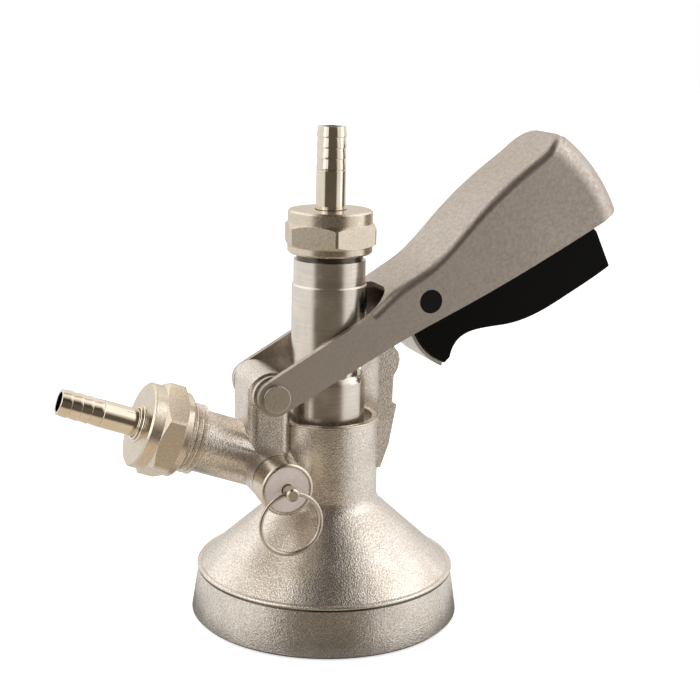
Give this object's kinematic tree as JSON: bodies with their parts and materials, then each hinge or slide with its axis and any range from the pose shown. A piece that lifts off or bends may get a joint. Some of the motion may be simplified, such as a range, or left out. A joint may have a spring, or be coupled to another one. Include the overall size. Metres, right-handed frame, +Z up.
{
  "type": "keg coupler",
  "caption": "Lever keg coupler: a wide bell with a guided probe, a forked handle with a sprung latch, a tilted gas inlet, union nuts with barbed tails, and a relief valve with a pull ring.",
  "frame": {"origin": "centre of the bell's bottom rim, on the probe's axis", "axes": "+Z up along the probe to the beer outlet, +X the way the handle points, the gas inlet leaves towards -X and the relief valve faces -Y"},
  "size_m": [0.1841, 0.087, 0.1577],
  "materials": {
    "nickel_casting": "satin, grainy nickel plate over a casting",
    "nickel_brass": "bright nickel plate with a warm cast",
    "turned_steel": "polished, with fine turning marks round it",
    "stamped_steel": "satin stamped sheet",
    "spring_steel": "satin",
    "latch_steel": "bright sheet",
    "dark_pin": "blackened",
    "black_plastic": "satin gloss",
    "black_rubber": "matt",
    "seat_plastic": "matt",
    "ball_plastic": "smooth",
    "relief_disc": "bare, matt"
  },
  "bodies": {
    "body": {"body_casting": "nickel_casting", "body_seal": "black_rubber", "neck_o_ring_lower": "black_rubber", "neck_o_ring_upper": "black_rubber", "gas_check_valve": "black_rubber", "gas_tail_washer": "black_rubber", "gas_tail": "nickel_brass", "gas_nut": "nickel_brass", "relief_bonnet": "nickel_brass", "relief_disc": "relief_disc", "relief_spring": "spring_steel", "pivot_washers": "spring_steel"},
    "probe": {"probe": "turned_steel", "probe_tip_seal": "black_rubber", "ball_seat": "seat_plastic", "ball_stop_pin": "spring_steel", "beer_tail_washer": "black_rubber", "beer_tail": "nickel_brass", "beer_nut": "nickel_brass"},
    "check_ball": {"beer_check_ball": "ball_plastic"},
    "handle": {"handle": "stamped_steel", "handle_pin": "spring_steel", "drive_pins": "spring_steel", "grip_pin": "dark_pin", "trigger_spring": "spring_steel"},
    "trigger": {"grip": "black_plastic", "latch_plate": "latch_steel", "latch_rivets": "latch_steel"},
    "relief_stem": {"relief_stem": "nickel_brass", "relief_seal": "black_rubber"},
    "pull_ring": {"pull_ring": "spring_steel"}
  },
  "joints": [
    {"name": "handle_pivot", "type": "hinge", "parent": "body", "child": "handle", "pos_m": [-0.022, 0, 0.0759], "axis": [0, 1, 0], "range_deg": [0, 25]},
    {"name": "probe_slide", "type": "slide", "parent": "body", "child": "probe", "axis": [0, 0, -1], "range_m": [0, 0.00983]},
    {"name": "ball_lift", "type": "slide", "parent": "probe", "child": "check_ball", "axis": [0, 0, 1], "range_m": [0, 0.004]},
    {"name": "trigger_pivot", "type": "hinge", "parent": "handle", "child": "trigger", "pos_m": [0.02883, 0, 0.10384], "axis": [0, -1, 0], "range_deg": [-8, 12], "stiffness_Nm_per_rad": 0.5},
    {"name": "relief_pull", "type": "slide", "parent": "body", "child": "relief_stem", "axis": [0, -1, 0], "range_m": [0, 0.002], "stiffness_N_per_m": 600, "springref_m": -0.003, "deforming": ["relief_spring"]},
    {"name": "ring_swing", "type": "hinge", "parent": "relief_stem", "child": "pull_ring", "pos_m": [-0.022, -0.0304, 0.0504], "axis": [-1, 0, 0], "range_deg": [-15, 90]}
  ],
  "couplings": [
    {"joint": "probe_slide", "follows": "handle_pivot", "m_per_rad": 0.02253}
  ]
}
